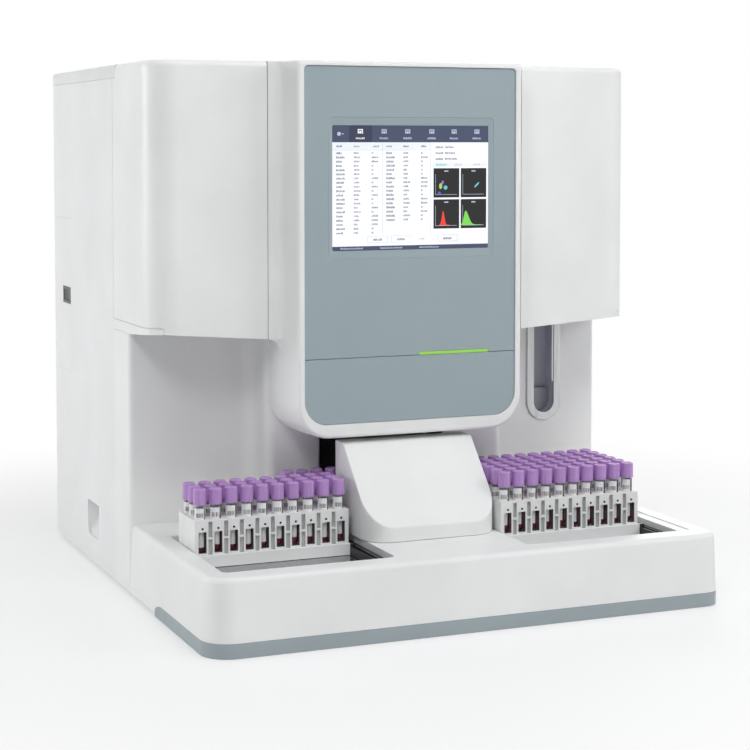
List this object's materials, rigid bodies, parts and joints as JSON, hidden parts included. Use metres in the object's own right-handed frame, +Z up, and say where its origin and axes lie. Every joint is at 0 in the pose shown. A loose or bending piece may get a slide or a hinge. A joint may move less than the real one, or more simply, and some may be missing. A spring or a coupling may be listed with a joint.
{
  "type": "hematology analyzer",
  "caption": "Bench hematology analyzer with a display column, hinged front door and a tray that feeds racks of capped blood tubes past a covered sampling station.",
  "frame": {"origin": "on the bench, below the middle of the whole unit", "axes": "+X to the right, +Y to the back, +Z up"},
  "size_m": [0.699, 0.771, 0.706],
  "materials": {
    "white_plastic": "fine satin mould texture",
    "white_paint": "satin powder coat",
    "blue_panel": "satin",
    "grey_plastic": "satin",
    "black_plastic": "satin",
    "rack_plastic": "satin",
    "amber_plastic": "glossy",
    "green_light": "lit strip",
    "steel": "brushed",
    "rubber": "matte",
    "screen_glass": "gloss",
    "cap_plastic": "gloss",
    "tube_glass": "clear",
    "label_paper": "matte",
    "blood": "liquid"
  },
  "bodies": {
    "cabinet": {"sample_tray": "white_plastic", "bay_floor": "steel", "tray_plinth": "grey_plastic", "left_guide": "black_plastic", "right_guide": "black_plastic", "foot_front_left": "rubber", "foot_front_right": "rubber", "foot_rear_left": "rubber", "foot_rear_right": "rubber", "base_plate": "steel", "front_moulding": "white_plastic", "open_vial_frame": "steel", "open_vial_recess": "black_plastic", "column_housing": "white_plastic", "display_panel": "blue_panel", "lower_panel": "blue_panel", "status_light": "green_light", "screen_bezel": "blue_panel", "touchscreen": "screen_glass", "needle_guide": "grey_plastic", "sampler_cover": "white_plastic", "right_front_cover": "white_plastic", "left_side_panel": "white_paint", "right_side_panel": "white_paint", "service_panel": "white_paint", "switch_bezel": "grey_plastic", "deck": "white_plastic", "top_lid": "white_plastic", "rear_panel": "white_paint", "fan_grille": "steel", "cooling_fan": "black_plastic", "mains_inlet": "black_plastic", "fluid_fittings": "grey_plastic", "bulkhead": "steel", "reagent_shelf": "steel", "syringe_unit": "steel", "optical_bench": "steel", "power_supply": "steel", "air_pump": "grey_plastic", "reagent_bottle_1": "amber_plastic", "reagent_bottle_2": "amber_plastic", "reagent_bottle_3": "amber_plastic"},
    "left_door": {"left_door": "white_plastic"},
    "mains_switch": {"mains_switch": "black_plastic"},
    "aspirate_key": {"aspirate_key": "grey_plastic"},
    "open_vial_probe": {"open_vial_probe": "steel"},
    "sampling_needle": {"sampling_needle": "steel"},
    "left_stop_bar": {"left_stop_bar": "rack_plastic"},
    "right_pusher": {"right_pusher": "rack_plastic"},
    "lane_rack": {"lane_rack": "rack_plastic"},
    "left_rack_1": {"left_rack_1": "rack_plastic"},
    "left_rack_2": {"left_rack_2": "rack_plastic"},
    "left_rack_3": {"left_rack_3": "rack_plastic"},
    "right_rack_1": {"right_rack_1": "rack_plastic"},
    "right_rack_2": {"right_rack_2": "rack_plastic"},
    "right_rack_3": {"right_rack_3": "rack_plastic"},
    "right_rack_4": {"right_rack_4": "rack_plastic"},
    "right_rack_5": {"right_rack_5": "rack_plastic"},
    "right_rack_6": {"right_rack_6": "rack_plastic"}
  },
  "joints": [
    {"name": "door_hinge", "type": "hinge", "parent": "cabinet", "child": "left_door", "pos_m": [-0.3463, 0.0302, 0.52], "axis": [0, 0, -1], "range_deg": [0, 100]},
    {"name": "switch_rock", "type": "hinge", "parent": "cabinet", "child": "mains_switch", "pos_m": [-0.343, 0.3085, 0.3755], "axis": [0, 0, 1], "range_deg": [-8, 8]},
    {"name": "aspirate_press", "type": "slide", "parent": "cabinet", "child": "aspirate_key", "axis": [0, 1, 0], "range_m": [0, 0.003], "stiffness_N_per_m": 300},
    {"name": "probe_lift", "type": "slide", "parent": "cabinet", "child": "open_vial_probe", "axis": [0, 0, 1], "range_m": [0, 0.045]},
    {"name": "needle_drop", "type": "slide", "parent": "cabinet", "child": "sampling_needle", "axis": [0, 0, -1], "range_m": [0, 0.075]},
    {"name": "left_bar_slide", "type": "slide", "parent": "cabinet", "child": "left_stop_bar", "axis": [0, -1, 0], "range_m": [0, 0.09]},
    {"name": "right_pusher_slide", "type": "slide", "parent": "cabinet", "child": "right_pusher", "axis": [0, -1, 0], "range_m": [0, 0.06]},
    {"name": "lane_travel", "type": "slide", "parent": "cabinet", "child": "lane_rack", "axis": [1, 0, 0], "range_m": [-0.137, 0]},
    {"name": "left_rack_1_lift", "type": "slide", "parent": "cabinet", "child": "left_rack_1", "axis": [0, 0, 1], "range_m": [0, 0.12]},
    {"name": "left_rack_2_lift", "type": "slide", "parent": "cabinet", "child": "left_rack_2", "axis": [0, 0, 1], "range_m": [0, 0.04]},
    {"name": "left_rack_3_lift", "type": "slide", "parent": "cabinet", "child": "left_rack_3", "axis": [0, 0, 1], "range_m": [0, 0.04]},
    {"name": "right_rack_1_lift", "type": "slide", "parent": "cabinet", "child": "right_rack_1", "axis": [0, 0, 1], "range_m": [0, 0.12]},
    {"name": "right_rack_2_lift", "type": "slide", "parent": "cabinet", "child": "right_rack_2", "axis": [0, 0, 1], "range_m": [0, 0.12]},
    {"name": "right_rack_3_lift", "type": "slide", "parent": "cabinet", "child": "right_rack_3", "axis": [0, 0, 1], "range_m": [0, 0.12]},
    {"name": "right_rack_4_lift", "type": "slide", "parent": "cabinet", "child": "right_rack_4", "axis": [0, 0, 1], "range_m": [0, 0.04]},
    {"name": "right_rack_5_lift", "type": "slide", "parent": "cabinet", "child": "right_rack_5", "axis": [0, 0, 1], "range_m": [0, 0.04]},
    {"name": "right_rack_6_lift", "type": "slide", "parent": "cabinet", "child": "right_rack_6", "axis": [0, 0, 1], "range_m": [0, 0.04]}
  ]
}
